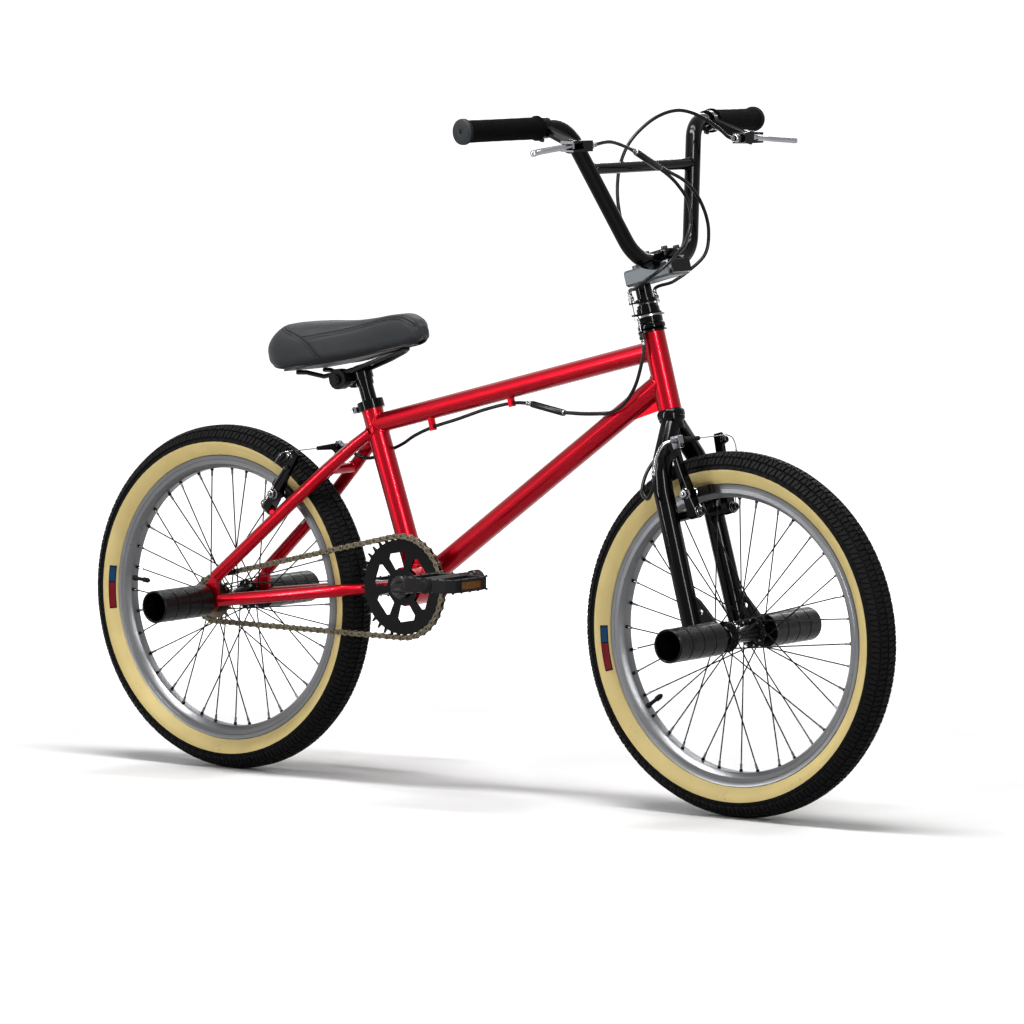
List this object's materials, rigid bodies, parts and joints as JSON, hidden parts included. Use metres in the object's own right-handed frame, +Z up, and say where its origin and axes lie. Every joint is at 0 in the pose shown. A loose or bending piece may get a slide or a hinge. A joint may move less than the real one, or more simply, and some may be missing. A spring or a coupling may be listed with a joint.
{
  "type": "freestyle bmx bike",
  "caption": "Freestyle bicycle with small wheels, high-rise bar, foot pegs, rim brakes, a cable detangler and a single-speed chain drive.",
  "frame": {"origin": "on the floor, midway between the wheel axles, in the middle plane", "axes": "+X forward, +Y to the rider's left, +Z up"},
  "size_m": [1.417, 0.6894, 0.9713],
  "materials": {
    "red_paint": "candy gloss",
    "black_paint_alloy": "gloss black",
    "black_paint_steel": "gloss black",
    "black_alloy": "satin black",
    "rim_alloy": "brushed",
    "bright_steel": "polished",
    "lever_alloy": "polished",
    "chain_steel": "bronzed",
    "rail_steel": "dark",
    "tyre": "black tread and tan side walls",
    "grip_foam": "matt foam",
    "black_plastic": "matt",
    "cable_housing": "satin black",
    "saddle_vinyl": "grained vinyl"
  },
  "bodies": {
    "frame": {"head_tube": "red_paint", "top_tube": "red_paint", "down_tube": "red_paint", "seat_tube": "red_paint", "bottom_bracket_shell": "red_paint", "chain_stay_right": "red_paint", "chain_stay_left": "red_paint", "seat_stay_right": "red_paint", "seat_stay_left": "red_paint", "seat_stay_bridge": "red_paint", "dropout_right": "red_paint", "dropout_left": "red_paint", "headset_upper_cup": "black_paint_alloy", "headset_lower_cup": "black_paint_alloy", "seat_clamp": "black_paint_alloy", "rear_axle": "bright_steel", "rear_peg_right": "black_alloy", "rear_peg_left": "black_alloy", "chain": "chain_steel", "gyro_lower_plate": "black_paint_alloy", "rear_brake_cable": "cable_housing"},
    "steering": {"fork": "black_paint_alloy", "headset_locknut": "black_paint_alloy", "stem": "black_paint_alloy", "stem_cap": "black_paint_alloy", "handlebar": "black_paint_alloy", "grip_right": "grip_foam", "grip_left": "grip_foam", "lever_bracket_right": "black_paint_alloy", "lever_bracket_left": "black_paint_alloy", "front_axle": "bright_steel", "front_peg_right": "black_alloy", "front_peg_left": "black_alloy", "gyro_upper_plate": "black_paint_alloy", "gyro_upper_cable": "cable_housing", "front_brake_cable": "cable_housing"},
    "gyro_lower": {"gyro_bearing_lower": "bright_steel"},
    "gyro_upper": {"gyro_bearing_upper": "bright_steel"},
    "lever_right": {"brake_lever_right": "lever_alloy"},
    "lever_left": {"brake_lever_left": "lever_alloy"},
    "front_arm_right": {"front_brake_arm_right": "black_paint_alloy"},
    "front_arm_left": {"front_brake_arm_left": "black_paint_alloy"},
    "rear_arm_right": {"rear_brake_arm_right": "black_paint_alloy"},
    "rear_arm_left": {"rear_brake_arm_left": "black_paint_alloy"},
    "front_wheel": {"front_tyre": "tyre", "front_rim": "rim_alloy", "front_hub": "black_alloy"},
    "rear_wheel": {"rear_tyre": "tyre", "rear_rim": "rim_alloy", "rear_hub": "black_alloy"},
    "freewheel": {"freewheel": "chain_steel"},
    "crankset": {"crank": "black_paint_steel", "chainwheel": "black_paint_steel"},
    "right_pedal": {"pedal_right": "black_plastic"},
    "left_pedal": {"pedal_left": "black_plastic"},
    "seat_support": {"seatpost": "black_paint_steel"},
    "saddle": {"saddle_cover": "saddle_vinyl", "saddle_base": "black_plastic", "saddle_rails": "rail_steel", "saddle_clamp": "black_alloy"}
  },
  "joints": [
    {"name": "steer", "type": "hinge", "parent": "frame", "child": "steering", "pos_m": [0.42459, 0, 0.24472], "axis": [-0.2588, 0, 0.9659], "continuous": true},
    {"name": "front_wheel_spin", "type": "hinge", "parent": "steering", "child": "front_wheel", "pos_m": [0.4555, 0, 0.253], "axis": [0, 1, 0], "continuous": true},
    {"name": "rear_wheel_spin", "type": "hinge", "parent": "frame", "child": "rear_wheel", "pos_m": [-0.4555, 0, 0.253], "axis": [0, 1, 0], "continuous": true},
    {"name": "crank_spin", "type": "hinge", "parent": "frame", "child": "crankset", "pos_m": [-0.1042, 0, 0.2905], "axis": [0, 1, 0], "continuous": true, "deforming": ["chain"]},
    {"name": "freewheel_spin", "type": "hinge", "parent": "frame", "child": "freewheel", "pos_m": [-0.4555, -0.04, 0.253], "axis": [0, 1, 0], "continuous": true},
    {"name": "right_pedal_spin", "type": "hinge", "parent": "crankset", "child": "right_pedal", "pos_m": [0.05899, -0.149, 0.31489], "axis": [0, 1, 0], "continuous": true},
    {"name": "left_pedal_spin", "type": "hinge", "parent": "crankset", "child": "left_pedal", "pos_m": [-0.26739, 0.149, 0.26611], "axis": [0, 1, 0], "continuous": true},
    {"name": "left_lever_pull", "type": "hinge", "parent": "steering", "child": "lever_left", "pos_m": [0.33, 0.212, 0.928], "axis": [0, 0.0743, 0.9972], "range_deg": [0, 28], "stiffness_Nm_per_rad": 0.5, "springref_deg": -11.46},
    {"name": "right_lever_pull", "type": "hinge", "parent": "steering", "child": "lever_right", "pos_m": [0.33, -0.212, 0.928], "axis": [0, 0.0743, -0.9972], "range_deg": [0, 28], "stiffness_Nm_per_rad": 0.5, "springref_deg": -11.46},
    {"name": "front_arm_right_swing", "type": "hinge", "parent": "steering", "child": "front_arm_right", "pos_m": [0.41021, -0.04, 0.42204], "axis": [-0.9659, 0, -0.2588], "range_deg": [0, 3]},
    {"name": "front_arm_left_swing", "type": "hinge", "parent": "steering", "child": "front_arm_left", "pos_m": [0.41021, 0.04, 0.42204], "axis": [0.9659, 0, 0.2588], "range_deg": [0, 3]},
    {"name": "rear_arm_right_swing", "type": "hinge", "parent": "frame", "child": "rear_arm_right", "pos_m": [-0.34897, -0.04, 0.39184], "axis": [-0.7934, 0, 0.6088], "range_deg": [0, 3]},
    {"name": "rear_arm_left_swing", "type": "hinge", "parent": "frame", "child": "rear_arm_left", "pos_m": [-0.34897, 0.04, 0.39184], "axis": [0.7934, 0, -0.6088], "range_deg": [0, 3]},
    {"name": "gyro_upper_slide", "type": "slide", "parent": "steering", "child": "gyro_upper", "axis": [-0.2588, 0, 0.9659], "range_m": [0, 0.006]},
    {"name": "gyro_lower_slide", "type": "slide", "parent": "frame", "child": "gyro_lower", "axis": [-0.2588, 0, 0.9659], "range_m": [0, 0.006]},
    {"name": "seat_height", "type": "slide", "parent": "frame", "child": "seat_support", "axis": [-0.3206, 0, 0.9472], "range_m": [-0.01, 0.07]},
    {"name": "saddle_tilt", "type": "hinge", "parent": "seat_support", "child": "saddle", "pos_m": [-0.23236, 0, 0.58179], "axis": [0, 1, 0], "range_deg": [-8, 8]}
  ],
  "couplings": [
    {"joint": "freewheel_spin", "follows": "crank_spin", "ratio": 2.25},
    {"joint": "front_arm_right_swing", "follows": "left_lever_pull", "ratio": 0.107},
    {"joint": "front_arm_left_swing", "follows": "left_lever_pull", "ratio": 0.107},
    {"joint": "rear_arm_right_swing", "follows": "right_lever_pull", "ratio": 0.107},
    {"joint": "rear_arm_left_swing", "follows": "right_lever_pull", "ratio": 0.107},
    {"joint": "gyro_upper_slide", "follows": "right_lever_pull", "m_per_rad": 0.0122},
    {"joint": "gyro_lower_slide", "follows": "right_lever_pull", "m_per_rad": 0.0122}
  ]
}
